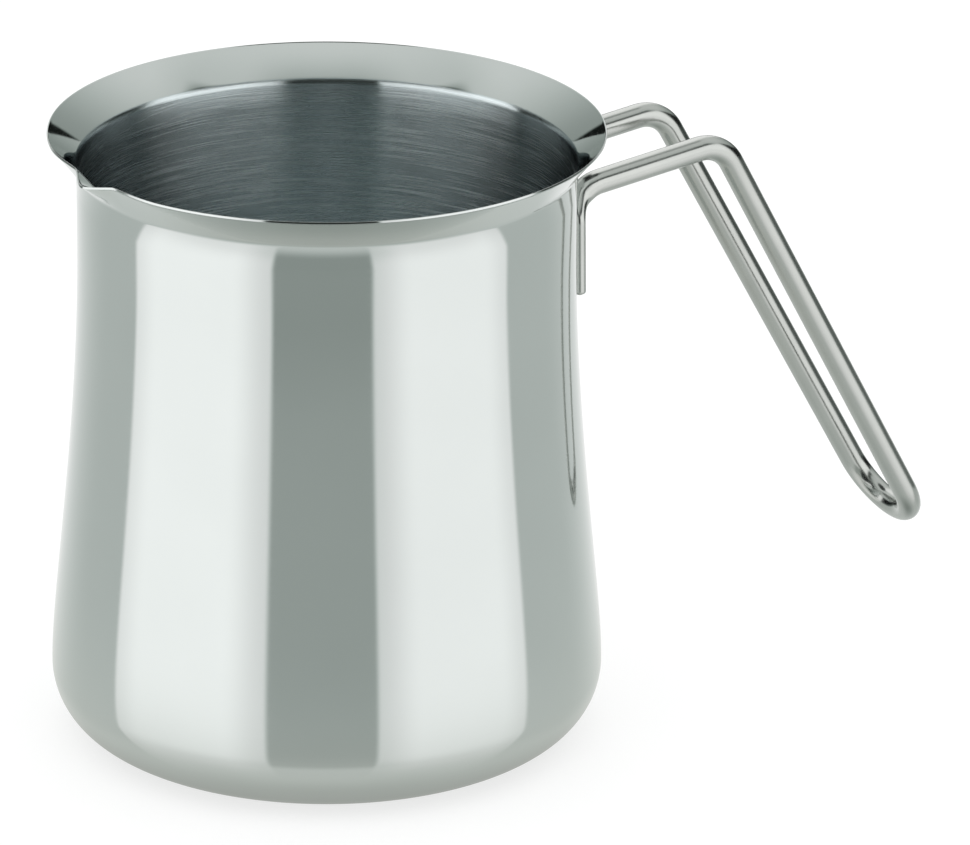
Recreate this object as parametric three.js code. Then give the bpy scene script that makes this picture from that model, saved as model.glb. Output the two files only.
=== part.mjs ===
// A stainless steel milk pot: a thin drawn pot with a flared rim and a small folded pouring spout, and a
// handle bent from one round wire, whose two flattened feet are spot welded to the neck.
// Millimetres, +Z up. The origin is the centre of the base, the handle points along +X and the spout
// lies near -X. Right is +Y, as seen along the handle towards the pot.
import * as THREE from 'three';

// Pot, outside sizes
const SHEET = 0.7; // thickness of the steel
const POT_HEIGHT = 125;
const NECK_DIAMETER = 98.5;
const FLARE_WIDTH = 5.75; // from the neck out to the edge of the rim
const BELLY_DIAMETER = 110.3; // at the top of the base corner
const BASE_CORNER_RADIUS = 13.5;
const NECK_LENGTH = 23; // from the rim down to where the wall starts to swell
const BELLY_EASE = 14.5; // how long the wall stays upright above the belly
const WAIST_EASE = 38; // how long the wall stays upright below the neck
const FLARE_ANGLE = 46; // degrees above level
const FLARE_BEND_RADIUS = 3;

// Spout, folded into the flare
const SPOUT_TURN = 4; // degrees from the point opposite the handle, towards the left
const SPOUT_WIDTH = 14; // between the two folds at the rim
const SPOUT_DROP = 1.3; // its lip below the rim
const SPOUT_REACH = 1.8; // its lip beyond the rim
const SPOUT_PINCH = 0.9; // how far the rim is drawn in beside each fold
const PINCH_SPAN = 20; // from the middle of the spout to where the rim is round again

// Wire handle, sizes to the centre line of the wire
const WIRE_DIAMETER = 5;
const HANDLE_SPREAD = 23.5; // between the two arms
const LOOP_SPREAD = 19.5; // between the two sides of the grip at its loop
const ELBOW_REACH = 34.5; // from the straight neck out to the elbow
const ELBOW_BELOW_RIM = 13.1;
const ARM_RISE = 7.2; // degrees, from the neck up to the elbow
const GRIP_LENGTH = 106;
const GRIP_ANGLE = 60.6; // degrees below level
const SHOULDER_RADIUS = 6.5; // bend between foot and arm
const ELBOW_RADIUS = 8; // bend between arm and grip

// Feet and their welds
const FOOT_LENGTH = 20.8; // below the corner of the shoulder
const FOOT_WIDTH = 10.4;
const FOOT_THICKNESS = 2.2;
const FOOT_FADE = 6; // over which the flat runs out into the round wire
const FOOT_FLATNESS = 2.2; // 1 gives an oval section, more gives a flatter one
const FOOT_GAP = 0.5; // to the neck, filled by the welds
const WELD_DIAMETER = 4;
const WELD_INSET = 4.5; // lower weld above the end of the foot
const WELD_PITCH = 7.5;
const WELD_CLEARANCE = 0.1; // on each face of a weld

// Facets
const POT_COLUMNS = 96;
const SPOUT_COLUMNS = 4; // on each side of the spout
const EDGE_PIECES = 4; // round the edge of the flare
const WIRE_SIDES = 16;
const STRAIGHT_STATIONS = 3;
const BEND_STATIONS = 8;
const WELD_SIDES = 24;

const spoutDirection = Math.PI + THREE.MathUtils.degToRad(SPOUT_TURN);
const waistTop = POT_HEIGHT - NECK_LENGTH;
const neckRadius = NECK_DIAMETER / 2;
const bellyRadius = BELLY_DIAMETER / 2;
const rimRadius = neckRadius + FLARE_WIDTH;

// Flare: a straight cone tangent to a bend above the neck, ending in a rounded edge
const flareAngle = THREE.MathUtils.degToRad(FLARE_ANGLE);
const flareOut = new THREE.Vector2(Math.cos(flareAngle), Math.sin(flareAngle));
const flareUnder = new THREE.Vector2(flareOut.y, -flareOut.x);
const edgeRadius = SHEET / 2;
const edgeCentre = new THREE.Vector2(rimRadius - edgeRadius, POT_HEIGHT - edgeRadius);
const flareEnd = edgeCentre.clone().addScaledVector(flareUnder, edgeRadius);
const bendRadial = neckRadius + FLARE_BEND_RADIUS;
const flareLength = (flareEnd.x - bendRadial + FLARE_BEND_RADIUS * flareOut.y) / flareOut.x;
const flareStart = flareEnd.clone().addScaledVector(flareOut, -flareLength);
const bendHeight = flareStart.y - FLARE_BEND_RADIUS * flareOut.x;

const polar = (radius, angle, height) =>
  new THREE.Vector3(radius * Math.cos(angle), radius * Math.sin(angle), height);

const point = (radius, height) => new THREE.Vector2(radius, height);

// Outer face of the pot from the middle of the base to the edge of the flare, as [curve, pieces]
function outerCurves() {
  const baseRadius = bellyRadius - BASE_CORNER_RADIUS;
  const corner = BASE_CORNER_RADIUS;
  const bend = FLARE_BEND_RADIUS;
  return [
    [new THREE.LineCurve(point(0, 0), point(baseRadius, 0)), 1],
    [new THREE.EllipseCurve(baseRadius, corner, corner, corner, -Math.PI / 2, 0), 5],
    [new THREE.CubicBezierCurve(
      point(bellyRadius, corner),
      point(bellyRadius, corner + BELLY_EASE),
      point(neckRadius, waistTop - WAIST_EASE),
      point(neckRadius, waistTop),
    ), 7],
    [new THREE.LineCurve(point(neckRadius, waistTop), point(neckRadius, bendHeight)), 1],
    [new THREE.EllipseCurve(
      bendRadial, bendHeight, bend, bend, Math.PI, Math.PI / 2 + flareAngle, true,
    ), 3],
    [new THREE.LineCurve(flareStart, flareEnd), SPOUT_COLUMNS],
  ];
}

// Points along the outer face, each with the same point on the inner face
function wallPoints() {
  const points = [];
  outerCurves().forEach(([curve, pieces], order) => {
    for (let i = order === 0 ? 0 : 1; i <= pieces; i++) {
      const outer = curve.getPoint(i / pieces);
      const along = curve.getTangent(i / pieces);
      const inner = point(outer.x - along.y * SHEET, outer.y + along.x * SHEET);
      points.push({ outer, inner });
    }
  });
  return points;
}

const wall = wallPoints();

// Outside radius of the wall at a height above the belly
function wallRadius(height) {
  const above = wall.findIndex(({ outer }) => outer.x > 0 && outer.y >= height);
  const high = wall[above].outer;
  const low = wall[above - 1].outer;
  return THREE.MathUtils.mapLinear(height, low.y, high.y, low.x, high.x);
}

// Columns of the pot: even around it, and closer in the spout so that its folds lie on columns
const foldAngle = Math.asin(SPOUT_WIDTH / 2 / rimRadius);
const pinchAngle = Math.asin(PINCH_SPAN / rimRadius);

function columnOffset(column) {
  const steps = Math.abs(column - POT_COLUMNS / 2);
  const plain = (Math.PI - foldAngle) / (POT_COLUMNS / 2 - SPOUT_COLUMNS);
  const offset = steps <= SPOUT_COLUMNS
    ? (steps / SPOUT_COLUMNS) * foldAngle
    : foldAngle + (steps - SPOUT_COLUMNS) * plain;
  return Math.sign(column - POT_COLUMNS / 2) * offset;
}

// How far the rim is drawn in: most at the folds, nothing in the middle or past the pinch
function pinchShape(offset) {
  if (offset < foldAngle) {
    return THREE.MathUtils.smoothstep(offset, 0, foldAngle);
  }
  return 1 - THREE.MathUtils.smoothstep(offset, foldAngle, pinchAngle);
}

// A profile point as it is after the spout is pressed, at an angle from the middle of the spout
function pressedPoint(profilePoint, offset) {
  const run = profilePoint.clone().sub(flareStart).dot(flareOut);
  const share = THREE.MathUtils.clamp(run / flareLength, 0, 1);
  const fold = Math.max(0, share - offset / foldAngle);
  const pinch = share * pinchShape(offset);
  return point(
    profilePoint.x + SPOUT_REACH * fold - SPOUT_PINCH * pinch,
    profilePoint.y - SPOUT_DROP * fold,
  );
}

// Turns the diagonals of the pot's quads so that both folds run along them, outside and inside
function alignFolds(index, rows, outsideRows) {
  for (let quad = 0; quad < POT_COLUMNS * rows; quad++) {
    const pastSpout = quad >= POT_COLUMNS / 2 * rows;
    const outside = quad % rows < outsideRows;
    if (pastSpout === outside) {
      const first = quad * 6; // three corners of each of its two triangles
      index.setX(first + 2, index.getX(first + 3));
      index.setX(first + 5, index.getX(first));
    }
  }
}

function potGeometry() {
  const edge = new THREE.EllipseCurve(
    edgeCentre.x, edgeCentre.y, edgeRadius, edgeRadius, flareAngle - Math.PI / 2, flareAngle + Math.PI / 2,
  );
  const outside = wall.map(({ outer }) => outer);
  const inside = wall.map(({ inner }) => inner).reverse();
  const profile = [...outside, ...edge.getPoints(EDGE_PIECES).slice(1, -1), ...inside];
  const geometry = new THREE.LatheGeometry(profile, POT_COLUMNS);
  alignFolds(geometry.index, profile.length - 1, outside.length);
  const position = geometry.attributes.position;
  for (let column = 0; column <= POT_COLUMNS; column++) {
    const offset = columnOffset(column);
    profile.forEach((profilePoint, row) => {
      const pressed = pressedPoint(profilePoint, Math.abs(offset));
      const place = polar(pressed.x, spoutDirection + offset, pressed.y);
      position.setXYZ(column * profile.length + row, place.x, place.y, place.z);
    });
  }
  geometry.computeVertexNormals();
  return geometry;
}

// Handle: the foot stands off the neck, and the arm starts at the shoulder above it
const elbowHeight = POT_HEIGHT - ELBOW_BELOW_RIM;
const elbowX = neckRadius + ELBOW_REACH;
const shoulderRadial = neckRadius + FOOT_GAP + FOOT_THICKNESS / 2;
const footAngle = Math.asin(HANDLE_SPREAD / 2 / shoulderRadial);
const shoulderX = shoulderRadial * Math.cos(footAngle);
const armRise = Math.tan(THREE.MathUtils.degToRad(ARM_RISE));
const shoulderHeight = elbowHeight - (elbowX - shoulderX) * armRise;
const footEnd = shoulderHeight - FOOT_LENGTH;
const footEndRadial = wallRadius(footEnd) + FOOT_GAP + FOOT_THICKNESS / 2;

// Corners of the wire on one side, from the end of the foot to the loop
function handleCorners(side) {
  const grip = THREE.MathUtils.degToRad(GRIP_ANGLE);
  const loopX = elbowX + GRIP_LENGTH * Math.cos(grip);
  const loopHeight = elbowHeight - GRIP_LENGTH * Math.sin(grip);
  return [
    polar(footEndRadial, side * footAngle, footEnd),
    polar(shoulderRadial, side * footAngle, shoulderHeight),
    new THREE.Vector3(elbowX, side * HANDLE_SPREAD / 2, elbowHeight),
    new THREE.Vector3(loopX, side * LOOP_SPREAD / 2, loopHeight),
  ];
}

// A path through corners, with each inner corner rounded
function roundedPath(corners, radii) {
  const path = new THREE.CurvePath();
  let from = corners[0];
  for (let i = 1; i < corners.length - 1; i++) {
    const before = corners[i].clone().sub(corners[i - 1]).normalize();
    const after = corners[i + 1].clone().sub(corners[i]).normalize();
    const turn = before.angleTo(after);
    const reach = radii[i - 1] * Math.tan(turn / 2);
    const pull = radii[i - 1] * Math.tan(turn / 4) * 4 / 3;
    const start = corners[i].clone().addScaledVector(before, -reach);
    const end = corners[i].clone().addScaledVector(after, reach);
    path.add(new THREE.LineCurve3(from, start));
    path.add(new THREE.CubicBezierCurve3(
      start,
      start.clone().addScaledVector(before, pull),
      end.clone().addScaledVector(after, -pull),
      end,
    ));
    from = end;
  }
  path.add(new THREE.LineCurve3(from, corners[corners.length - 1]));
  return path;
}

// Stations along the wire, each with its place, its direction and its distance from the nearer foot's end
function wireStations(path) {
  const total = path.getLength();
  const stations = [];
  let run = 0;
  path.curves.forEach((curve, order) => {
    const pieces = curve.isLineCurve3 ? STRAIGHT_STATIONS : BEND_STATIONS;
    const length = curve.getLength();
    for (let i = order === 0 ? 0 : 1; i <= pieces; i++) {
      const along = run + (i / pieces) * length;
      stations.push({
        place: curve.getPointAt(i / pieces),
        direction: curve.getTangentAt(i / pieces),
        fromEnd: Math.min(along, total - along),
      });
    }
    run += length;
  });
  return stations;
}

// An offset from the wire's centre after the foot is pressed flat against the neck
function pressedOffset(offset, station, flatLength) {
  const { place, direction, fromEnd } = station;
  const press = 1 - THREE.MathUtils.smoothstep(fromEnd, flatLength, flatLength + FOOT_FADE);
  if (press === 0) {
    return offset;
  }
  const through = new THREE.Vector3(place.x, place.y, 0).projectOnPlane(direction).normalize();
  const across = new THREE.Vector3().crossVectors(direction, through);
  const wireRadius = WIRE_DIAMETER / 2;
  const level = THREE.MathUtils.clamp(offset.dot(through) / wireRadius * FOOT_FLATNESS, -1, 1);
  const flat = through.multiplyScalar(level * FOOT_THICKNESS / 2)
    .addScaledVector(across, offset.dot(across) / wireRadius * FOOT_WIDTH / 2);
  return offset.clone().lerp(flat, press);
}

// The wire: a closed cylinder, one ring of it at each station of the path
function handleGeometry() {
  const loopRadius = LOOP_SPREAD / 2;
  const corners = [...handleCorners(1), ...handleCorners(-1).reverse()];
  const radii = [SHOULDER_RADIUS, ELBOW_RADIUS, loopRadius, loopRadius, ELBOW_RADIUS, SHOULDER_RADIUS];
  const path = roundedPath(corners, radii);
  const flatLength = path.curves[0].getLength();
  const stations = wireStations(path);
  const normal = new THREE.Vector3(1, 0, 0);
  for (const station of stations) {
    normal.projectOnPlane(station.direction).normalize();
    station.normal = normal.clone();
    station.side = new THREE.Vector3().crossVectors(station.direction, normal);
  }
  const geometry = new THREE.CylinderGeometry(1, 1, 1, WIRE_SIDES, stations.length - 1);
  const position = geometry.attributes.position;
  for (let i = 0; i < position.count; i++) {
    const ring = Math.round((0.5 - position.getY(i)) * (stations.length - 1));
    const station = stations[ring];
    const offset = station.normal.clone().multiplyScalar(position.getX(i) * WIRE_DIAMETER / 2)
      .addScaledVector(station.side, position.getZ(i) * WIRE_DIAMETER / 2);
    const place = pressedOffset(offset, station, flatLength).add(station.place);
    position.setXYZ(i, place.x, place.y, place.z);
  }
  geometry.computeVertexNormals();
  return geometry;
}

// A weld fills the gap between the neck and a foot, and faces the axis of the pot
function weldMesh(side, height, material) {
  const share = (height - footEnd) / FOOT_LENGTH;
  const footRadial = THREE.MathUtils.lerp(footEndRadial, shoulderRadial, share);
  const outer = footRadial - FOOT_THICKNESS / 2 - WELD_CLEARANCE;
  const inner = wallRadius(height) + WELD_CLEARANCE;
  const geometry = new THREE.CylinderGeometry(
    WELD_DIAMETER / 2, WELD_DIAMETER / 2, outer - inner, WELD_SIDES,
  );
  const mesh = new THREE.Mesh(geometry, material);
  const outward = polar(1, side * footAngle, 0);
  mesh.position.copy(polar((inner + outer) / 2, side * footAngle, height));
  mesh.quaternion.setFromUnitVectors(new THREE.Vector3(0, 1, 0), outward);
  return mesh;
}

const polishedSteel = new THREE.MeshStandardMaterial({ color: 0xc8cdca, roughness: 0.1, metalness: 1 });
const drawnWire = new THREE.MeshStandardMaterial({ color: 0xc4c6c1, roughness: 0.18, metalness: 1 });
const weldSteel = new THREE.MeshStandardMaterial({ color: 0x8d8880, roughness: 0.55, metalness: 1 });

const milkPot = new THREE.Group();

const potBody = new THREE.Mesh(potGeometry(), polishedSteel);
potBody.name = 'pot_body';
milkPot.add(potBody);

const wireHandle = new THREE.Mesh(handleGeometry(), drawnWire);
wireHandle.name = 'wire_handle';
milkPot.add(wireHandle);

for (const [sideName, side] of [['right', 1], ['left', -1]]) {
  for (const [levelName, level] of [['lower', 0], ['upper', 1]]) {
    const weld = weldMesh(side, footEnd + WELD_INSET + level * WELD_PITCH, weldSteel);
    weld.name = `spot_weld_${sideName}_${levelName}`;
    milkPot.add(weld);
  }
}

export default milkPot;
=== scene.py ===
# A stainless steel milk pot: a drawn pot with a flared rim and a folded spout, and a handle bent from one
# wire. Metres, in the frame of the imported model: +Z up, the handle along +X, the base centre at the origin.
import math

import bpy
from mathutils import Matrix, Vector


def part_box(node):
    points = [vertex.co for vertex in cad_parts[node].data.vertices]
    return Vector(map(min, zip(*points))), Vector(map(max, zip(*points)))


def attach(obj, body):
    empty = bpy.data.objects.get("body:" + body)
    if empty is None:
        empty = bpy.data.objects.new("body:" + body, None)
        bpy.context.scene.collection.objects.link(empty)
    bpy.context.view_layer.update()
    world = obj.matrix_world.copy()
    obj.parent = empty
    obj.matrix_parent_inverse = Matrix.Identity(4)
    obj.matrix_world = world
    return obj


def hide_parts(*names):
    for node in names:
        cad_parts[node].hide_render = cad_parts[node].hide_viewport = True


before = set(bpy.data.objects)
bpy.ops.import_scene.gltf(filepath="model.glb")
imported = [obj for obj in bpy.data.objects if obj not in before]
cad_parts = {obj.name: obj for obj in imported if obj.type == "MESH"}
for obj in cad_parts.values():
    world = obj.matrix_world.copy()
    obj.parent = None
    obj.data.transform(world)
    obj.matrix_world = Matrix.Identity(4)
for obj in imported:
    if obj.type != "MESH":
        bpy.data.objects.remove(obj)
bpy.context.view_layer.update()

MM = 0.001
_, pot_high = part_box("pot_body")

# Pot, outside sizes
SHEET = 0.7 * MM
POT_HEIGHT = pot_high.z
BELLY_RADIUS = pot_high.y
NECK_RADIUS = 49.25 * MM
FLARE_WIDTH = 5.75 * MM  # from the neck out to the edge of the rim
BASE_CORNER_RADIUS = 13.5 * MM
NECK_LENGTH = 23 * MM  # from the rim down to where the wall starts to swell
BELLY_EASE = 14.5 * MM  # how far up the belly pulls on the curve of the wall
WAIST_EASE = 38 * MM  # how far down the neck does
FLARE_ANGLE = math.radians(46.5)  # above level, at the edge
THROAT_ANGLE = math.radians(54.5)  # of the flare where it leaves the throat, so that it opens like a trumpet
FLARE_BEND_RADIUS = 2.2 * MM
LEAD_RADIUS = 27 * MM  # of the slow curve that leads from the straight neck into that bend
LEAD_TURN = math.radians(10)
EDGE_SHEET = 0.4 * MM  # the flare thins towards its cut edge
EDGE_LEAN = 0.26 * MM  # how far its upper face runs on past its lower one there
EDGE_FLATNESS = 0.5  # of the cut edge: 1 is a half round, less is flatter
EDGE_PIECES = 12

# Spout, folded into the flare
SPOUT_DIRECTION = math.radians(184)
SPOUT_WIDTH = 14 * MM
SPOUT_DROP = 1.3 * MM
SPOUT_REACH = 1.8 * MM
SPOUT_PINCH = 0.9 * MM  # how far the flare is drawn in on both sides of the spout
PINCH_SPAN = 20 * MM  # from the middle of the spout to where that ends
FOLD_SOFTNESS = 0.14  # width of a fold, as a share of half the spout
POT_COLUMNS = 288
SPOUT_CROWDING = 0.4  # spacing of the columns at the spout, against even ones
JOIN_DISTANCE = 0.001 * MM  # points of the turned sheet that lie closer become one

# Wire handle, sizes to the centre line of the wire
WIRE_RADIUS = 2.5 * MM
WIRE_SIDES = 40
RING_SPACING = 0.35 * MM
BEND_PIECES = 32
HANDLE_SPREAD = 23.5 * MM  # between the two arms
LOOP_SPREAD = 19.5 * MM  # between the two sides of the grip, at its end
ELBOW_REACH = 34.5 * MM  # from the straight neck out to the elbow
ELBOW_BELOW_RIM = 13.1 * MM
ARM_RISE = math.radians(7.2)
GRIP_LENGTH = 105.9 * MM
GRIP_ANGLE = math.radians(60.6)
SHOULDER_RADIUS = 6.5 * MM
ELBOW_RADIUS = 8 * MM
FOOT_LENGTH = 20.8 * MM
FOOT_WIDTH = 10.4 * MM
FOOT_THICKNESS = 2.2 * MM
FOOT_FADE = 6 * MM  # over which the round wire turns into the flat foot
FOOT_FLATNESS = 2.2  # how sharply the round section turns into flat faces
FOOT_GAP = 0.5 * MM  # between a foot and the neck, where the welds sit
FOOT_END_ROUND = 0.8 * MM
FOOT_END_FULLNESS = 0.62  # of its thickness: what the end's round is measured against, so that a flat is left
WELD_INSET = 4.5 * MM
WELD_PITCH = 7.5 * MM
DENT_RADIUS = 2.4 * MM  # of the mark that a welding tip leaves on the foot
DENT_FLOOR = 0.6  # share of that radius over which the mark is flat
DENT_DEPTH = 0.25 * MM

# Camera of the photograph
PHOTO_WIDTH = 970
FOCAL_LENGTH = 8041.7  # in pixels of the photograph
PHOTO_CENTRE_SHIFT = 158  # from the pot's axis to the middle of the picture, in pixels
CAMERA_DISTANCE = 1.6
CAMERA_ELEVATION = math.radians(20.953)
CAMERA_AZIMUTH = math.radians(-29.1)
AIM_HEIGHT = 63.32 * MM
SENSOR_WIDTH = 36

# Floor; brightness 1 is white
FLOOR_REACH = 6.0
FLOOR_GLOW = 0.72
FLOOR_LIGHT = 1.6
FLOOR_LIGHT_SPREAD = math.radians(100)

# Floor as the steel shows it: a painted reflection, a sheet that glows only in the steel, with painted shade
# under the pot
SHEEN_SHEET_REACH = 0.5
SHEEN_REACH = 38 * MM  # over which the floor fades away from the neck
SHEEN_DEPTH = 0.3 * MM  # below the floor that the camera sees
# Painted shade: the sheen's glow under the pot, darker than beside it
SHEEN_UNDER_POT = 0.42
SHEEN_BESIDE_POT = 0.66
SHEEN_SHADE = 6 * MM  # how far from the belly the painted shade under the pot reaches
SHEEN_GAIN = 2.5  # in brightness for each metre away from the neck

# Studio. Directions are in degrees: level ones to either side of the camera, so that 180 lies behind the pot,
# and heights above level. A pair gives the start and the end of a soft change
WALL_FOOT = (-9.5, -7.5)  # from the low part of the room to the high one
GAP_HEIGHTS, GAP_BRIGHTNESS = (-22.0, -13.0), (0.39, 0.46)  # between the panels
SIDE_WALL_SPAN, SIDE_WALL = (60.0, 90.0), 0.63
BACK_GAIN_SPAN, BACK_GAIN = (120.0, 186.0), 0.36  # added to the low part of the room behind the pot
FRONT_CEILING_SPAN, FRONT_CEILING_FOOT = (15.0, 55.0), (0.35, 0.70)
FRONT_CEILING_HEIGHTS, FRONT_CEILING = (42.0, 72.0), 0.83
BACK_CEILING_HEIGHTS, BACK_CEILING = (6.0, 46.0), (0.38, 0.84)
BACK_WALL_SPAN, BACK_WALL = (155.0, 172.0), 1.3
FRONT_TO_BACK = (75.0, 105.0)
STUDIO_FLOOR_TOP = (-40.0, -30.0)
STUDIO_FLOOR_HEIGHTS, STUDIO_FLOOR = (-90.0, -50.0), (0.30, 0.70)
DIM_TINT = (0.84, 1.0, 0.92)

# Dark parts of the studio
OVERHEAD_TILT = math.radians(6)  # of the round patch overhead, away from the camera
OVERHEAD_PATCH, OVERHEAD_DARK = (math.radians(19), math.radians(14)), 0.05
OPENING_SIDE = (92.0, 97.0)  # where the openings begin, beyond the panels
OPENING_SPAN, OPENING_TOP = (100.0, 140.0), (30.0, 7.0)  # their top falls away from the camera
OPENING_EDGE = 0.8
OPENING_HEIGHTS, OPENING_DARK = (-4.0, 1.0), (0.16, 0.01)
FRONT_DARK_HEIGHTS, FRONT_DARK_EDGE = (-5.0, 46.0), 3.0
FRONT_DARK_SPAN, FRONT_DARK = (70.0, 85.0), 0.03

# Tall panels beside the camera
LEFT_PANEL, LEFT_BRIGHTNESS = (25.0, 98.0), 1.29  # from the inner to the outer edge
RIGHT_PANEL, RIGHT_BRIGHTNESS = (21.0, 91.0), 1.23
PANEL_EDGE = 1.5
PANEL_TOP, PANEL_FOOT = (30.0, 35.0), (-62.0, -21.0)
PANEL_RISE, PANEL_GAIN = (-6.0, 2.0), 1.1  # brighter upwards
PANEL_INNER_FADE, PANEL_INNER_SHARE = 20.0, 0.76  # dimmer towards its edges
PANEL_OUTER_FADE, PANEL_OUTER_SHARE = 14.0, 0.87

# Finishes, in grains for each metre along three axes
POLISHING_LINES = (60.0, 60.0, 2600.0)
FINE_BRUSHING = (70.0, 70.0, 7000.0)
BROAD_BRUSHING = (40.0, 40.0, 3000.0)
DRAWING_LINES = (9.0, 9.0, 60.0)  # two across the wire, for each radius of it, and one along it
NOISE_SPAN = (0.3, 0.7)  # most values of a noise lie in it


class Rule:
    """The nodes of one tree, joined by plain calls: a socket given as a value is linked, a number is set."""

    def __init__(self, tree):
        self.tree = tree

    def node(self, kind, values=(), **settings):
        made = self.tree.nodes.new(kind)
        for name, setting in settings.items():
            setattr(made, name, setting)
        for key, value in values.items() if isinstance(values, dict) else enumerate(values):
            if isinstance(value, bpy.types.NodeSocket):
                self.tree.links.new(value, made.inputs[key])
            else:
                made.inputs[key].default_value = value
        return made

    def math(self, operation, *values, clamp=False):
        return self.node("ShaderNodeMath", values, operation=operation, use_clamp=clamp).outputs[0]

    def product(self, first, *others):
        for other in others:
            first = self.math("MULTIPLY", first, other)
        return first

    def hypotenuse(self, a, b):
        return self.math("SQRT", self.math("ADD", self.math("POWER", a, 2.0), self.math("POWER", b, 2.0)))

    def vector(self, operation, *values):
        made = self.node("ShaderNodeVectorMath", values, operation=operation)
        return made.outputs["Value" if operation in ("DOT_PRODUCT", "LENGTH") else "Vector"]

    def scaled(self, vector, factor):
        made = self.node("ShaderNodeVectorMath", {0: vector, "Scale": factor}, operation="SCALE")
        return made.outputs["Vector"]

    def ramp(self, value, low, high, start=0.0, end=1.0, course="SMOOTHSTEP"):
        """Runs from start to end while value goes from low to high, smoothly or in another course."""
        made = self.node(
            "ShaderNodeMapRange",
            {"Value": value, "From Min": low, "From Max": high, "To Min": start, "To Max": end},
            interpolation_type=course,
        )
        return made.outputs["Result"]

    def up_to(self, value, low, high):
        """1 as long as value is under low, falling smoothly to 0 at high."""
        return self.ramp(value, low, high, 1.0, 0.0)

    def mixed(self, factor, first, second, kind="FLOAT"):
        """Between two numbers, vectors or colours, by a factor from 0 to 1."""
        order = ("FLOAT", "VECTOR", "RGBA").index(kind)
        values = {"Factor": factor, 2 * order + 2: first, 2 * order + 3: second}
        return self.node("ShaderNodeMix", values, data_type=kind).outputs[order]

    def split(self, vector):
        return self.node("ShaderNodeSeparateXYZ", [vector]).outputs

    def join(self, x, y, z):
        return self.node("ShaderNodeCombineXYZ", [x, y, z]).outputs[0]

    def place_on_piece(self):
        return self.node("ShaderNodeTexCoord").outputs["Object"]

    def noise(self, vector, scale, detail=2.0):
        """Noise with so many grains in a metre, in all directions or along each axis."""
        if isinstance(scale, tuple):
            vector, scale = self.vector("MULTIPLY", vector, scale), 1.0
        values = {"Vector": vector, "Scale": scale, "Detail": detail}
        return self.node("ShaderNodeTexNoise", values).outputs[0]

    def keep(self, geometry, name, value, kind="FLOAT", domain="POINT"):
        """The geometry with a value kept on it under a name."""
        return self.node(
            "GeometryNodeStoreNamedAttribute", {"Geometry": geometry, "Name": name, "Value": value},
            data_type=kind, domain=domain,
        ).outputs[0]

    def kept(self, name, kind="FLOAT"):
        return self.node(
            "GeometryNodeInputNamedAttribute", {"Name": name}, data_type=kind,
        ).outputs["Attribute"]


def shape_tree(name, sizes):
    """A geometry tree with one named input for each size, its rule, and the inputs' sockets by name."""
    tree = bpy.data.node_groups.new(name, "GeometryNodeTree")
    tree.interface.new_socket("Geometry", in_out="OUTPUT", socket_type="NodeSocketGeometry")
    tree.interface.new_socket("Geometry", in_out="INPUT", socket_type="NodeSocketGeometry")
    kinds = {int: "NodeSocketInt", float: "NodeSocketFloat", Vector: "NodeSocketVector"}
    for size_name, size in sizes.items():
        tree.interface.new_socket(size_name, in_out="INPUT", socket_type=kinds[type(size)])
    rule = Rule(tree)
    return tree, rule, rule.node("NodeGroupInput").outputs


def grown(name, points, tree, sizes, bends=None):
    """Runs a tree on a line of points and returns an object with the resulting plain mesh."""
    line = bpy.data.meshes.new(name + " line")
    line.from_pydata(points, [(i, i + 1) for i in range(len(points) - 1)], [])
    if bends:
        line.attributes.new("bend", "FLOAT", "POINT").data.foreach_set("value", bends)
    piece = bpy.data.objects.new(name, line)
    bpy.context.collection.objects.link(piece)
    modifier = piece.modifiers.new("shape", "NODES")
    modifier.node_group = tree
    for item in tree.interface.items_tree:
        if item.in_out == "INPUT" and item.name in sizes:
            size = sizes[item.name]
            modifier[item.identifier] = list(size) if isinstance(size, Vector) else size
    depsgraph = bpy.context.evaluated_depsgraph_get()
    piece_now = piece.evaluated_get(depsgraph)
    mesh = bpy.data.meshes.new_from_object(piece_now, preserve_all_data_layers=True, depsgraph=depsgraph)
    piece.modifiers.remove(modifier)
    piece.data = mesh
    mesh.name = name
    bpy.data.meshes.remove(line)
    return piece


# Outline of the sheet

neck_top = POT_HEIGHT - NECK_LENGTH
base_radius = BELLY_RADIUS - BASE_CORNER_RADIUS
rim_radius = NECK_RADIUS + FLARE_WIDTH


def level(angle):
    """A direction in the outline's plane, at an angle above level."""
    return Vector((math.cos(angle), math.sin(angle)))


edge_across = EDGE_SHEET * level(FLARE_ANGLE + math.pi / 2) + EDGE_LEAN * level(FLARE_ANGLE)
edge_out = Vector((edge_across.y, -edge_across.x)).normalized()
edge_bulge = EDGE_FLATNESS * EDGE_SHEET / 2
flare_end = Vector((rim_radius - edge_bulge, POT_HEIGHT - edge_across.y - edge_bulge * edge_out.y))
lead_across = NECK_RADIUS + LEAD_RADIUS
bend_across = lead_across + (FLARE_BEND_RADIUS - LEAD_RADIUS) * math.cos(LEAD_TURN)
throat_across = bend_across - FLARE_BEND_RADIUS * math.sin(THROAT_ANGLE)
half_flare = (flare_end.x - throat_across) / (math.cos(FLARE_ANGLE) + math.cos(THROAT_ANGLE))
flare_pull = flare_end - half_flare * level(FLARE_ANGLE)
flare_start = flare_pull - half_flare * level(THROAT_ANGLE)
bend_centre = Vector((bend_across, flare_start.y - FLARE_BEND_RADIUS * math.cos(THROAT_ANGLE)))
lead_centre = Vector((lead_across, bend_centre.y - (LEAD_RADIUS - FLARE_BEND_RADIUS) * math.sin(LEAD_TURN)))


def straight(start, end):
    return lambda t: start.lerp(end, t)


def arc(centre, radius, start, end):
    return lambda t: centre + radius * level(start + (end - start) * t)


def bezier(*points):
    """The curve pulled by its control points."""
    def at(t):
        left = list(points)
        while len(left) > 1:
            left = [a.lerp(b, t) for a, b in zip(left, left[1:])]
        return left[0]
    return at


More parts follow.
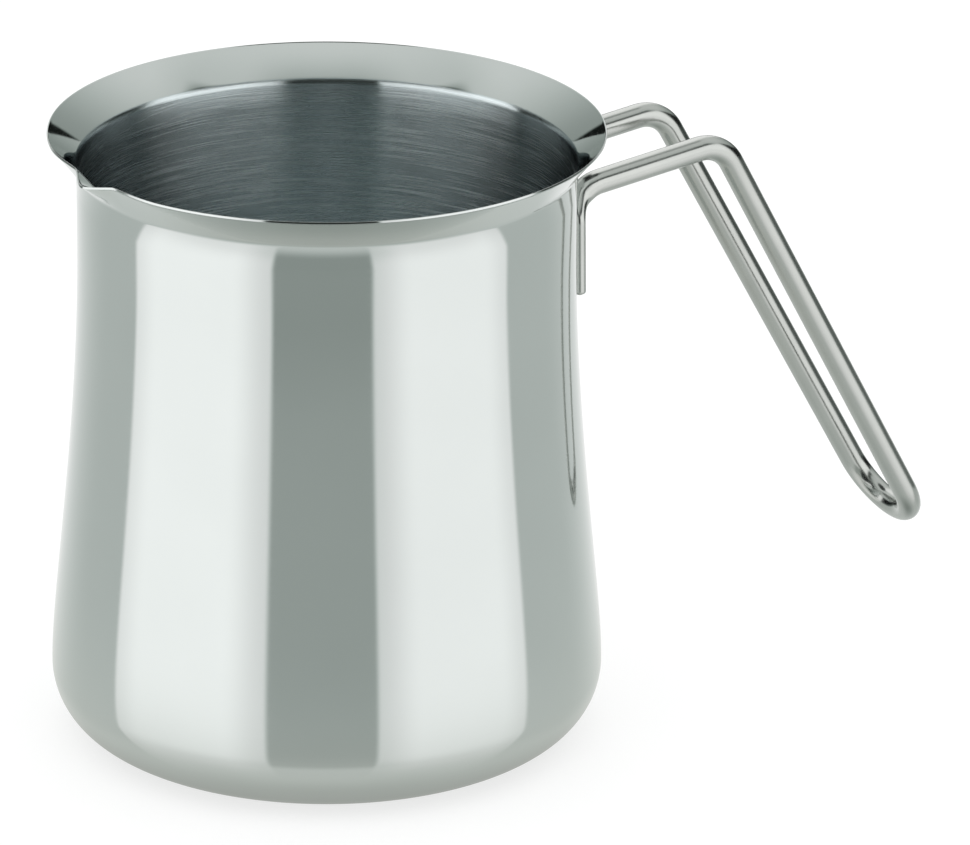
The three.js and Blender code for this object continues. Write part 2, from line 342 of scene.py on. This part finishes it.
swelling_wall = bezier(
    Vector((BELLY_RADIUS, BASE_CORNER_RADIUS)),
    Vector((BELLY_RADIUS, BASE_CORNER_RADIUS + BELLY_EASE)),
    Vector((NECK_RADIUS, neck_top - WAIST_EASE)),
    Vector((NECK_RADIUS, neck_top)),
)


def outer_curves():
    """Outer face from the middle of the base to the edge of the flare, as curves and their pieces."""
    return [
        (straight(Vector((0, 0)), Vector((base_radius, 0))), 4),
        (arc(Vector((base_radius, BASE_CORNER_RADIUS)), BASE_CORNER_RADIUS, -math.pi / 2, 0), 30),
        (swelling_wall, 48),
        (straight(Vector((NECK_RADIUS, neck_top)), Vector((NECK_RADIUS, lead_centre.y))), 6),
        (arc(lead_centre, LEAD_RADIUS, math.pi, math.pi - LEAD_TURN), 10),
        (arc(bend_centre, FLARE_BEND_RADIUS, math.pi - LEAD_TURN, math.pi / 2 + THROAT_ANGLE), 12),
        (bezier(flare_start, flare_pull, flare_end), 16),
    ]


def cut_edge(t):
    """A point of the rim's edge, from its outer face to its inner one: flat, with rounded corners."""
    turn = math.pi * (t - 0.5)
    out = edge_bulge * max(math.cos(turn), 0) ** EDGE_FLATNESS
    up = math.copysign(abs(math.sin(turn)) ** EDGE_FLATNESS, turn)
    return flare_end + (1 + up) / 2 * edge_across + out * edge_out


def pot_outline():
    """Outline of the sheet, up its outer face and down its inner one, and the number of the throat point."""
    outer, inner = [], []
    step = 1e-4
    curves = outer_curves()
    for order, (curve, pieces) in enumerate(curves):
        end_sheet = EDGE_SHEET if order == len(curves) - 1 else SHEET
        for i in range(min(order, 1), pieces + 1):
            t = i / pieces
            along = (curve(min(t + step, 1)) - curve(max(t - step, 0))).normalized()
            outer.append(curve(t))
            inner.append(curve(t) + (SHEET + (end_sheet - SHEET) * t) * Vector((-along.y, along.x)))
    edge = [cut_edge(i / EDGE_PIECES) for i in range(1, EDGE_PIECES + 1)]
    points = [*outer, *edge, *reversed(inner)]
    _, flare_pieces = curves[-1]
    throat = len(outer) + len(edge) + flare_pieces
    return [Vector((p.x, 0, p.y)) for p in points], throat


# Pot

def turn_from_spout(rule, size, column):
    """A column's turn from the middle of the spout, in half turns, with the columns crowded there."""
    even = rule.math("MULTIPLY_ADD", rule.math("DIVIDE", column, size["Columns"]), 2.0, -1.0)
    cubed = rule.math("POWER", rule.math("ABSOLUTE", even), 3.0)
    crowded = rule.math("MULTIPLY", rule.math("SIGN", even), rule.math("SUBTRACT", 1.0, size["Crowding"]))
    return rule.math("ADD", rule.math("MULTIPLY", even, size["Crowding"]),
                     rule.math("MULTIPLY", cubed, crowded))


def spout_press(rule, size, point, offset):
    """How far a point of the flare is folded out for the spout, and drawn in beside it, from 0 to 1."""
    run = rule.vector("DOT_PRODUCT", rule.vector("SUBTRACT", point, size["Flare start"]),
                      size["Flare direction"])
    share = rule.math("DIVIDE", run, size["Flare length"], clamp=True)
    away = rule.math("ABSOLUTE", offset)
    valley = rule.math("MULTIPLY", size["Fold angle"], size["Fold softness"])
    rounded = rule.hypotenuse(away, valley)
    spare = rule.math("SUBTRACT", share, rule.math("DIVIDE", rounded, size["Fold angle"]))
    folded = rule.math("SMOOTH_MAX", spare, 0.0, size["Fold softness"])
    fold = rule.math("MULTIPLY", folded, rule.ramp(share, 0.0, size["Fold softness"]))
    toward = rule.ramp(away, 0.0, size["Fold angle"])
    beyond = rule.up_to(away, size["Fold angle"], size["Pinch angle"])
    return fold, rule.product(toward, beyond, share)


def pot_tree(sizes, polished, brushed):
    """Turns the outline about the pot's axis and presses the spout into the flare."""
    tree, rule, size = shape_tree("pot turned from its outline", sizes)
    outline = size["Geometry"]
    rows = rule.node(
        "GeometryNodeAttributeDomainSize", {"Geometry": outline}, component="MESH",
    ).outputs["Point Count"]
    columns = rule.math("ADD", size["Columns"], 1.0)
    sheet = rule.node("GeometryNodeMeshGrid", {"Vertices X": columns, "Vertices Y": rows}).outputs["Mesh"]
    index = rule.node("GeometryNodeInputIndex").outputs[0]
    column = rule.math("FLOOR", rule.math("DIVIDE", index, rows))
    row = rule.math("SUBTRACT", index, rule.math("MULTIPLY", column, rows))
    place = rule.node("GeometryNodeInputPosition").outputs[0]
    point = rule.node(
        "GeometryNodeSampleIndex", {"Geometry": outline, "Value": place, "Index": row},
        data_type="FLOAT_VECTOR", domain="POINT",
    ).outputs["Value"]

    turn = turn_from_spout(rule, size, column)
    offset = rule.math("MULTIPLY", turn, math.pi)
    fold, pinch = spout_press(rule, size, point, offset)
    radius, _, height = rule.split(point)
    reached = rule.math("MULTIPLY_ADD", size["Spout reach"], fold, radius)
    pressed = rule.math("SUBTRACT", reached, rule.math("MULTIPLY", size["Spout pinch"], pinch))
    lowered = rule.math("SUBTRACT", height, rule.math("MULTIPLY", size["Spout drop"], fold))
    angle = rule.math("ADD", offset, size["Spout direction"])
    turned = rule.join(
        rule.math("MULTIPLY", pressed, rule.math("COSINE", angle)),
        rule.math("MULTIPLY", pressed, rule.math("SINE", angle)),
        lowered,
    )

    # Row and turn are kept for each point before it moves: they make the map for the brushing, and the
    # row parts the brushed inside from the rest
    sheet = rule.keep(sheet, "outline_row", row)
    sheet = rule.keep(sheet, "outline_turn", turn)
    around = rule.join(rule.kept("outline_turn"), rule.math("DIVIDE", rule.kept("outline_row"), rows), 0.0)
    sheet = rule.keep(sheet, "around", around, "FLOAT2", "CORNER")
    sheet = rule.node("GeometryNodeSetPosition", {"Geometry": sheet, "Position": turned}).outputs[0]
    sheet = rule.node(
        "GeometryNodeMergeByDistance", {"Geometry": sheet, "Distance": JOIN_DISTANCE},
    ).outputs[0]
    sheet = rule.node("GeometryNodeSetShadeSmooth", {"Geometry": sheet}).outputs[0]
    inside = rule.math("GREATER_THAN", rule.kept("outline_row"), size["Throat row"])
    sheet = rule.node("GeometryNodeRealizeInstances", {"Geometry": sheet}).outputs[0]
    sheet = rule.node("GeometryNodeSetMaterial", {"Geometry": sheet, "Material": polished}).outputs[0]
    sheet = rule.node(
        "GeometryNodeSetMaterial", {"Geometry": sheet, "Selection": inside, "Material": brushed},
    ).outputs[0]
    rule.node("NodeGroupOutput", [sheet])
    return tree


def make_pot(polished, brushed):
    points, throat = pot_outline()
    flare_run = flare_end - flare_start
    sizes = {
        "Columns": POT_COLUMNS,
        "Crowding": SPOUT_CROWDING,
        "Throat row": float(throat),
        "Flare start": Vector((flare_start.x, 0, flare_start.y)),
        "Flare direction": Vector((flare_run.x, 0, flare_run.y)).normalized(),
        "Flare length": flare_run.length,
        "Spout direction": SPOUT_DIRECTION,
        "Fold angle": math.asin(SPOUT_WIDTH / 2 / rim_radius),
        "Pinch angle": math.asin(PINCH_SPAN / rim_radius),
        "Fold softness": FOLD_SOFTNESS,
        "Spout drop": SPOUT_DROP,
        "Spout reach": SPOUT_REACH,
        "Spout pinch": SPOUT_PINCH,
    }
    return grown("steel_pot", points, pot_tree(sizes, polished, brushed), sizes)


# Wire handle

def wall_radius(height):
    """Outside radius of the wall at a height between the belly and the neck."""
    low, high = 0.0, 1.0
    halvings = 40
    for _ in range(halvings):
        middle = (low + high) / 2
        low, high = (middle, high) if swelling_wall(middle).y < height else (low, middle)
    return swelling_wall(low).x


def handle_corners():
    """Corners of the wire from the end of one foot round the loop to the other, and their bend radii."""
    elbow_x = NECK_RADIUS + ELBOW_REACH
    elbow_z = POT_HEIGHT - ELBOW_BELOW_RIM
    shoulder_radial = NECK_RADIUS + FOOT_GAP + FOOT_THICKNESS / 2
    foot_angle = math.asin(HANDLE_SPREAD / 2 / shoulder_radial)
    shoulder_x = shoulder_radial * math.cos(foot_angle)
    shoulder_z = elbow_z - (elbow_x - shoulder_x) * math.tan(ARM_RISE)
    foot_z = shoulder_z - FOOT_LENGTH
    foot_radial = wall_radius(foot_z) + FOOT_GAP + FOOT_THICKNESS / 2
    loop_x = elbow_x + GRIP_LENGTH * math.cos(GRIP_ANGLE)
    loop_z = elbow_z - GRIP_LENGTH * math.sin(GRIP_ANGLE)
    half = [
        Vector((foot_radial * math.cos(foot_angle), foot_radial * math.sin(foot_angle), foot_z)),
        Vector((shoulder_x, HANDLE_SPREAD / 2, shoulder_z)),
        Vector((elbow_x, HANDLE_SPREAD / 2, elbow_z)),
        Vector((loop_x, LOOP_SPREAD / 2, loop_z)),
    ]
    other_half = [Vector((p.x, -p.y, p.z)) for p in reversed(half)]
    bends = [0.0, SHOULDER_RADIUS, ELBOW_RADIUS, LOOP_SPREAD / 2]
    return [*half, *other_half], [*bends, *reversed(bends)]


def wire_path(rule, size):
    """Centre line of the wire, rounded at its corners, with each point's place and heading kept on it."""
    path = rule.node("GeometryNodeMeshToCurve", {"Mesh": size["Geometry"]}).outputs["Curve"]
    path = rule.node(
        "GeometryNodeFilletCurve", {"Curve": path, "Radius": rule.kept("bend"), "Count": BEND_PIECES},
        mode="POLY",
    ).outputs[0]
    path = rule.node(
        "GeometryNodeResampleCurve", {"Curve": path, "Length": size["Ring spacing"]}, mode="LENGTH",
    ).outputs[0]
    run = rule.node("GeometryNodeSplineParameter").outputs["Length"]
    whole = rule.node("GeometryNodeSplineLength").outputs["Length"]
    path = rule.keep(path, "along", run)
    path = rule.keep(path, "from_end", rule.math("MINIMUM", run, rule.math("SUBTRACT", whole, run)))
    path = rule.keep(path, "centre", rule.node("GeometryNodeInputPosition").outputs[0], "FLOAT_VECTOR")
    return rule.keep(path, "heading", rule.node("GeometryNodeInputTangent").outputs[0], "FLOAT_VECTOR")


def weld_marks(rule, size, from_end, across):
    """The round marks that the weld tips leave in a row on a foot: 1 on their floor, 0 beside them."""
    marks = 0.0
    floor = rule.math("MULTIPLY", size["Dent radius"], DENT_FLOOR)
    for weld in ("Lower weld", "Upper weld"):
        distance = rule.hypotenuse(rule.math("SUBTRACT", from_end, size[weld]), across)
        marks = rule.math("ADD", marks, rule.up_to(distance, floor, size["Dent radius"]))
    return marks


def pressed_foot(rule, size, from_end, out_share, across_share):
    """A point's offsets in the pressed section, outwards and across: flat faces, rounded sides and end."""
    steep = rule.math("MULTIPLY", out_share, size["Foot flatness"])
    flat_share = rule.math("MAXIMUM", rule.math("MINIMUM", steep, 1.0), -1.0)
    half_wide = rule.math("MULTIPLY", size["Foot width"], 0.5)
    flat_out = rule.math("MULTIPLY", flat_share, rule.math("MULTIPLY", size["Foot thickness"], 0.5))
    flat_across = rule.math("MULTIPLY", across_share, half_wide)
    to_end = rule.math("SUBTRACT", 1.0, rule.math("DIVIDE", from_end, size["End round"], clamp=True))
    end_drop = rule.math("SUBTRACT", 1.0, rule.math("SQRT", rule.math(
        "SUBTRACT", 1.0, rule.math("POWER", to_end, 2.0), clamp=True)))
    end_cut = rule.math("MULTIPLY", end_drop, size["End round"])

    def drawn_in(value, half):
        share = rule.math("SUBTRACT", 1.0, rule.math("DIVIDE", end_cut, half))
        return rule.math("MULTIPLY", value, share)

    outer_face = rule.ramp(flat_share, 0.5, 1.0)
    dent = rule.product(weld_marks(rule, size, from_end, flat_across), outer_face, size["Dent depth"])
    end_half = rule.math("MULTIPLY", size["Foot thickness"], FOOT_END_FULLNESS)
    out = rule.math("SUBTRACT", drawn_in(flat_out, end_half), dent)
    return out, drawn_in(flat_across, half_wide)


def handle_tree(sizes, finish):
    """Bends a round wire along its corners, and presses both ends flat, with a weld tip's marks on them."""
    tree, rule, size = shape_tree("handle bent from a wire", sizes)
    section = rule.node(
        "GeometryNodeCurvePrimitiveCircle", {"Resolution": WIRE_SIDES, "Radius": size["Wire radius"]},
        mode="RADIUS",
    ).outputs["Curve"]
    wire = rule.node(
        "GeometryNodeCurveToMesh",
        {"Curve": wire_path(rule, size), "Profile Curve": section, "Fill Caps": True},
    ).outputs["Mesh"]

    # Each point's offset from the centre line, outwards from the pot and across the foot
    place = rule.node("GeometryNodeInputPosition").outputs[0]
    centre = rule.kept("centre", "FLOAT_VECTOR")
    heading = rule.kept("heading", "FLOAT_VECTOR")
    offset = rule.vector("SUBTRACT", place, centre)
    level_out = rule.vector("MULTIPLY", centre, (1.0, 1.0, 0.0))
    out_raw = rule.vector("SUBTRACT", level_out, rule.vector("PROJECT", level_out, heading))
    outward = rule.vector("NORMALIZE", out_raw)
    across = rule.vector("CROSS_PRODUCT", heading, outward)
    out_share = rule.math("DIVIDE", rule.vector("DOT_PRODUCT", offset, outward), size["Wire radius"])
    across_share = rule.math("DIVIDE", rule.vector("DOT_PRODUCT", offset, across), size["Wire radius"])
    grain = rule.join(out_share, across_share, rule.kept("along"))
    wire = rule.keep(wire, "grain", grain, "FLOAT_VECTOR")

    from_end = rule.kept("from_end")
    foot_out, foot_across = pressed_foot(rule, size, from_end, out_share, across_share)
    foot = rule.vector("ADD", rule.scaled(outward, foot_out), rule.scaled(across, foot_across))
    flat_end = rule.math("ADD", size["Flat length"], size["Foot fade"])
    press = rule.up_to(from_end, size["Flat length"], flat_end)
    pressed = rule.vector("ADD", centre, rule.mixed(press, offset, foot, "VECTOR"))
    wire = rule.node("GeometryNodeSetPosition", {"Geometry": wire, "Position": pressed}).outputs[0]
    wire = rule.node("GeometryNodeSetShadeSmooth", {"Geometry": wire}).outputs[0]
    wire = rule.node("GeometryNodeRealizeInstances", {"Geometry": wire}).outputs[0]
    wire = rule.node("GeometryNodeSetMaterial", {"Geometry": wire, "Material": finish}).outputs[0]
    rule.node("NodeGroupOutput", [wire])
    return tree


def make_handle(finish):
    corners, bends = handle_corners()
    to_foot = corners[0] - corners[1]
    to_elbow = corners[2] - corners[1]
    bend_reach = SHOULDER_RADIUS / math.tan(to_foot.angle(to_elbow) / 2)
    sizes = {
        "Ring spacing": RING_SPACING,
        "Wire radius": WIRE_RADIUS,
        "Flat length": to_foot.length - bend_reach,
        "Foot fade": FOOT_FADE,
        "Foot flatness": FOOT_FLATNESS,
        "Foot thickness": FOOT_THICKNESS,
        "Foot width": FOOT_WIDTH,
        "End round": FOOT_END_ROUND,
        "Lower weld": WELD_INSET,
        "Upper weld": WELD_INSET + WELD_PITCH,
        "Dent radius": DENT_RADIUS,
        "Dent depth": DENT_DEPTH,
    }
    return grown("bent_wire_handle", corners, handle_tree(sizes, finish), sizes, bends)


# Finishes

def shaded_material(name):
    """A new material, its rule and its shader."""
    material = bpy.data.materials.new(name)
    material.use_nodes = True
    return material, Rule(material.node_tree), material.node_tree.nodes["Principled BSDF"]


def steel_material(name):
    material, rule, shader = shaded_material(name)
    shader.inputs["Metallic"].default_value = 1.0
    return material, rule, shader


def feed(rule, shader, **sockets):
    for name, socket in sockets.items():
        rule.tree.links.new(socket, shader.inputs[name.replace("_", " ")])


def tinted(rule, factor, dark, light):
    """A colour between two, by a factor from 0 to 1."""
    return rule.mixed(factor, (*dark, 1.0), (*light, 1.0), "RGBA")


def bump(rule, height, strength, distance):
    values = {"Strength": strength, "Distance": distance, "Height": height}
    return rule.node("ShaderNodeBump", values).outputs["Normal"]


def polished_steel():
    """Outside of the pot and its flare: nearly a mirror, with faint polishing lines around it."""
    material, rule, shader = steel_material("polished_steel")
    place = rule.place_on_piece()
    lines = rule.noise(place, POLISHING_LINES, 3.0)
    clouds = rule.noise(place, 45.0, 3.0)
    wear = rule.math("MULTIPLY_ADD", lines, 0.5, rule.math("MULTIPLY", clouds, 0.5))
    feed(
        rule, shader,
        Base_Color=tinted(rule, clouds, (0.615, 0.645, 0.632), (0.655, 0.685, 0.672)),
        Roughness=rule.ramp(wear, *NOISE_SPAN, 0.04, 0.08),
        Normal=bump(rule, lines, 0.05, 0.01 * MM),
    )
    return material


def brushed_steel():
    """Inside of the pot: brushed around it, so that light smears up and down the wall."""
    material, rule, shader = steel_material("brushed_steel")
    place = rule.place_on_piece()
    wander = rule.math("MULTIPLY", rule.noise(place, 30.0), 1.2 * MM)
    x, y, z = rule.split(place)
    radius = rule.vector("LENGTH", rule.join(x, y, 0.0))
    inwards = rule.math("ADD", z, radius)  # falls all the way down the wall and over the base
    drifting = rule.join(x, y, rule.math("ADD", inwards, wander))
    fine = rule.noise(drifting, FINE_BRUSHING)
    broad = rule.noise(drifting, BROAD_BRUSHING)
    scratches = rule.math("MULTIPLY_ADD", fine, 0.6, rule.math("MULTIPLY", broad, 0.4))
    tangent = rule.node("ShaderNodeTangent", direction_type="UV_MAP", uv_map="around").outputs[0]

    # The bend under the flare is brushed less
    below_bend = rule.up_to(z, bend_centre.y - 1.5 * MM, bend_centre.y + 1.2 * MM)
    smear = rule.math("MULTIPLY_ADD", below_bend, 0.35, 0.65)
    groove = rule.math("MULTIPLY_ADD", below_bend, 0.5, 0.5)
    shader.inputs["Anisotropic"].default_value = 1.0
    shader.inputs["Anisotropic Rotation"].default_value = 0.25
    shader.inputs["Specular Tint"].default_value = (0.12, 0.13, 0.14, 1.0)  # the grooves darken at a slant
    feed(
        rule, shader,
        Base_Color=tinted(rule, rule.ramp(scratches, 0.5, 0.7), (0.61, 0.67, 0.68), (0.76, 0.83, 0.84)),
        Roughness=rule.math("MULTIPLY", rule.ramp(scratches, 0.35, 0.65, 0.20, 0.29), smear),
        Normal=bump(rule, scratches, groove, 0.055 * MM),
        Tangent=tangent,
    )
    return material


def handle_wire():
    """Drawn wire: polished, with faint lines along it."""
    material, rule, shader = steel_material("handle_wire")
    grain = rule.node("ShaderNodeAttribute", attribute_name="grain").outputs["Vector"]
    lines = rule.noise(grain, DRAWING_LINES, 3.0)
    clouds = rule.noise(rule.place_on_piece(), 160.0, 3.0)
    feed(
        rule, shader,
        Base_Color=tinted(rule, clouds, (0.485, 0.50, 0.48), (0.545, 0.56, 0.535)),
        Roughness=rule.ramp(lines, *NOISE_SPAN, 0.16, 0.24),
        Normal=bump(rule, lines, 0.08, 0.02 * MM),
    )
    return material


def weld_steel():
    """Fused metal of the spot welds: dull, with a heat tint."""
    material, rule, shader = steel_material("weld_steel")
    clouds = rule.noise(rule.place_on_piece(), 900.0, 4.0)
    feed(
        rule, shader,
        Base_Color=tinted(rule, clouds, (0.34, 0.31, 0.29), (0.55, 0.53, 0.50)),
        Roughness=rule.ramp(clouds, *NOISE_SPAN, 0.45, 0.65),
        Normal=bump(rule, clouds, 0.4, 0.05 * MM),
    )
    return material


# Pieces

pot = make_pot(polished_steel(), brushed_steel())
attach(pot, "root")
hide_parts("pot_body")

handle = make_handle(handle_wire())
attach(handle, "root")
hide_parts("wire_handle")

weld_finish = weld_steel()
for node_name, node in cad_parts.items():
    if node_name.startswith("spot_weld"):
        node.data.materials.clear()
        node.data.materials.append(weld_finish)


# Floor

def stage_sheet(name, reach, height, material):
    """A level square sheet of the stage, centred on the pot's axis."""
    mesh = bpy.data.meshes.new(name)
    corners = [(x * reach, y * reach, height) for x, y in ((-1, -1), (1, -1), (1, 1), (-1, 1))]
    mesh.from_pydata(corners, [], [(0, 1, 2, 3)])
    mesh.materials.append(material)
    sheet = bpy.data.objects.new(name, mesh)
    bpy.context.collection.objects.link(sheet)
    return sheet


def make_floor():
    """A pale light table, so that shadows on it stay faint; the steel doesn't show it."""
    material, rule, shader = shaded_material("pale_floor")
    shader.inputs["Roughness"].default_value = 0.9
    shader.inputs["Specular IOR Level"].default_value = 0.0
    shader.inputs["Emission Color"].default_value = (1.0, 1.0, 1.0, 1.0)
    shader.inputs["Emission Strength"].default_value = FLOOR_GLOW
    clouds = rule.noise(rule.place_on_piece(), 2.0)
    feed(rule, shader, Base_Color=tinted(rule, clouds, (0.30, 0.30, 0.30), (0.32, 0.32, 0.32)))
    stage_sheet("floor", FLOOR_REACH, 0.0, material).visible_glossy = False


def make_floor_sheen():
    """Painted reflection of the floor close to the pot, glowing only in the steel, with painted shade under
    the pot; it fades out away from the wall.
    """
    material, rule, _ = shaded_material("floor_sheen")
    place = rule.place_on_piece()
    radius = rule.vector("LENGTH", rule.vector("MULTIPLY", place, (1.0, 1.0, 0.0)))
    distance = rule.math("MAXIMUM", rule.math("SUBTRACT", radius, NECK_RADIUS), 0.0)
    opacity = rule.math("EXPONENT", rule.math("DIVIDE", distance, -SHEEN_REACH))
    # Painted shade: the glow is darker under the pot and brighter away from the neck
    painted_shade = rule.ramp(radius, base_radius, BELLY_RADIUS + SHEEN_SHADE, SHEEN_UNDER_POT, SHEEN_BESIDE_POT)
    brightness = rule.math("MULTIPLY_ADD", distance, SHEEN_GAIN, painted_shade)
    glow = rule.node("ShaderNodeEmission", {"Color": (0.97, 1.0, 0.945, 1.0), "Strength": brightness})
    clear = rule.node("ShaderNodeBsdfTransparent")
    mixed = rule.node("ShaderNodeMixShader", [opacity, clear.outputs[0], glow.outputs[0]])
    rule.tree.links.new(mixed.outputs[0], rule.tree.nodes["Material Output"].inputs["Surface"])
    sheen = stage_sheet("floor_sheen", SHEEN_SHEET_REACH, -SHEEN_DEPTH, material)
    sheen.visible_camera = False
    sheen.visible_diffuse = False
    sheen.visible_shadow = False


def make_floor_light():
    """Lights the floor from above; the steel doesn't show it."""
    data = bpy.data.lights.new("floor light", "SUN")
    data.energy = FLOOR_LIGHT
    data.angle = FLOOR_LIGHT_SPREAD
    light = bpy.data.objects.new("floor light", data)
    light.visible_glossy = False
    bpy.context.collection.objects.link(light)


# Studio

class StudioRule(Rule):
    """A rule for light by direction, in degrees: right of the camera, to either side of it, above level."""

    toward_camera = (math.sin(CAMERA_AZIMUTH), -math.cos(CAMERA_AZIMUTH), 0.0)
    right_of_camera = (math.cos(CAMERA_AZIMUTH), math.sin(CAMERA_AZIMUTH), 0.0)

    def __init__(self, tree):
        super().__init__(tree)
        self.direction = self.node("ShaderNodeTexCoord").outputs["Generated"]
        ahead = self.vector("DOT_PRODUCT", self.direction, self.toward_camera)
        aside = self.vector("DOT_PRODUCT", self.direction, self.right_of_camera)
        _, _, rise = self.split(self.direction)
        self.right = self.math("DEGREES", self.math("ARCTAN2", aside, ahead))
        self.beside = self.math("ABSOLUTE", self.right)
        self.above = self.math("DEGREES", self.math("ARCSINE", rise))

    def within(self, value, low, high, soft):
        """1 between two limits and 0 outside them, with soft edges."""
        return self.product(self.ramp(value, low - soft, low + soft),
                            self.up_to(value, high - soft, high + soft))

    def laid_over(self, below, mask, brightness):
        return self.mixed(mask, below, brightness)


def room_light(rule):
    """Room: grey between the panels, paler to the sides and white behind the pot."""
    gap = rule.ramp(rule.above, *GAP_HEIGHTS, *GAP_BRIGHTNESS)
    low = rule.laid_over(gap, rule.ramp(rule.beside, *SIDE_WALL_SPAN), SIDE_WALL)
    low = rule.math("ADD", low, rule.ramp(rule.beside, *BACK_GAIN_SPAN, 0.0, BACK_GAIN))
    front_foot = rule.ramp(rule.beside, *FRONT_CEILING_SPAN, *FRONT_CEILING_FOOT)
    front = rule.ramp(rule.above, *FRONT_CEILING_HEIGHTS, front_foot, FRONT_CEILING)
    back = rule.ramp(rule.above, *BACK_CEILING_HEIGHTS, *BACK_CEILING)
    back = rule.laid_over(back, rule.ramp(rule.beside, *BACK_WALL_SPAN), BACK_WALL)
    high = rule.laid_over(front, rule.ramp(rule.beside, *FRONT_TO_BACK), back)
    return rule.laid_over(low, rule.ramp(rule.above, *WALL_FOOT), high)


def dark_openings(rule, room):
    """Dark parts of the room: overhead, beyond the panels near level, and above level around the camera."""
    back_x, back_y = (-math.sin(OVERHEAD_TILT) * part for part in rule.toward_camera[:2])
    nearness = rule.vector("DOT_PRODUCT", rule.direction, (back_x, back_y, math.cos(OVERHEAD_TILT)))
    overhead = rule.ramp(nearness, *(math.cos(angle) for angle in OVERHEAD_PATCH))
    room = rule.laid_over(room, overhead, OVERHEAD_DARK)

    top = rule.ramp(rule.beside, *OPENING_SPAN, *OPENING_TOP, course="LINEAR")
    below_top = rule.up_to(rule.math("SUBTRACT", rule.above, top), -OPENING_EDGE, OPENING_EDGE)
    opening = rule.product(
        rule.ramp(rule.above, *WALL_FOOT), rule.ramp(rule.beside, *OPENING_SIDE), below_top)
    room = rule.laid_over(room, opening, rule.ramp(rule.above, *OPENING_HEIGHTS, *OPENING_DARK))

    front = rule.product(rule.within(rule.above, *FRONT_DARK_HEIGHTS, FRONT_DARK_EDGE),
                         rule.up_to(rule.beside, *FRONT_DARK_SPAN))
    return rule.laid_over(room, front, FRONT_DARK)


def panel_light(rule, room, side, edges, brightness):
    """Lays a tall panel over the room, on the side of the camera that 1 (right) or -1 (left) gives."""
    inner, outer = edges
    across = rule.math("MULTIPLY", rule.right, side)
    fade = rule.product(rule.ramp(across, inner, inner + PANEL_INNER_FADE, PANEL_INNER_SHARE, 1.0),
                        rule.ramp(across, outer - PANEL_OUTER_FADE, outer, 1.0, PANEL_OUTER_SHARE))
    rising = rule.ramp(rule.above, *PANEL_RISE, brightness, PANEL_GAIN * brightness)
    mask = rule.product(rule.within(across, inner, outer, PANEL_EDGE), rule.up_to(rule.above, *PANEL_TOP),
                        rule.ramp(rule.above, *PANEL_FOOT))
    return rule.laid_over(room, mask, rule.product(fade, rising))


def make_studio():
    """Soft light by direction: two tall panels beside the camera, a soft ceiling and a bright back wall."""
    world = bpy.data.worlds.new("studio")
    bpy.context.scene.world = world
    world.use_nodes = True
    rule = StudioRule(world.node_tree)
    room = dark_openings(rule, room_light(rule))
    floor = rule.ramp(rule.above, *STUDIO_FLOOR_HEIGHTS, *STUDIO_FLOOR)
    room = rule.laid_over(room, rule.up_to(rule.above, *STUDIO_FLOOR_TOP), floor)
    room = panel_light(rule, room, -1.0, LEFT_PANEL, LEFT_BRIGHTNESS)
    room = panel_light(rule, room, 1.0, RIGHT_PANEL, RIGHT_BRIGHTNESS)

    # The dim parts are greenish, and the camera sees plain white
    tint = tinted(rule, rule.math("MINIMUM", room, 1.0), DIM_TINT, (1.0, 1.0, 1.0))
    background = world.node_tree.nodes["Background"]
    world.node_tree.links.new(rule.scaled(tint, room), background.inputs["Color"])
    white = rule.node("ShaderNodeBackground", {"Color": (1.0, 1.0, 1.0, 1.0)})
    seen = rule.node("ShaderNodeLightPath").outputs["Is Camera Ray"]
    shown = rule.node("ShaderNodeMixShader", [seen, background.outputs[0], white.outputs[0]])
    world.node_tree.links.new(shown.outputs[0], world.node_tree.nodes["World Output"].inputs["Surface"])


def make_camera():
    data = bpy.data.cameras.new("camera")
    data.sensor_width = SENSOR_WIDTH
    data.lens = SENSOR_WIDTH * FOCAL_LENGTH / PHOTO_WIDTH
    data.clip_start = 0.05
    data.clip_end = 100
    camera = bpy.data.objects.new("camera", data)
    bpy.context.collection.objects.link(camera)
    away = Vector((
        math.sin(CAMERA_AZIMUTH) * math.cos(CAMERA_ELEVATION),
        -math.cos(CAMERA_AZIMUTH) * math.cos(CAMERA_ELEVATION),
        math.sin(CAMERA_ELEVATION),
    ))
    place = Vector((0, 0, AIM_HEIGHT)) + CAMERA_DISTANCE * away
    aim = (-away).to_track_quat("-Z", "Y").to_matrix().to_4x4()
    swing = math.atan2(PHOTO_CENTRE_SHIFT, FOCAL_LENGTH)
    camera.matrix_world = Matrix.Translation(place) @ aim @ Matrix.Rotation(-swing, 4, "Y")
    bpy.context.scene.camera = camera


make_floor()
make_floor_sheen()
make_floor_light()
make_studio()
make_camera()
bpy.context.scene.view_settings.view_transform = "Standard"
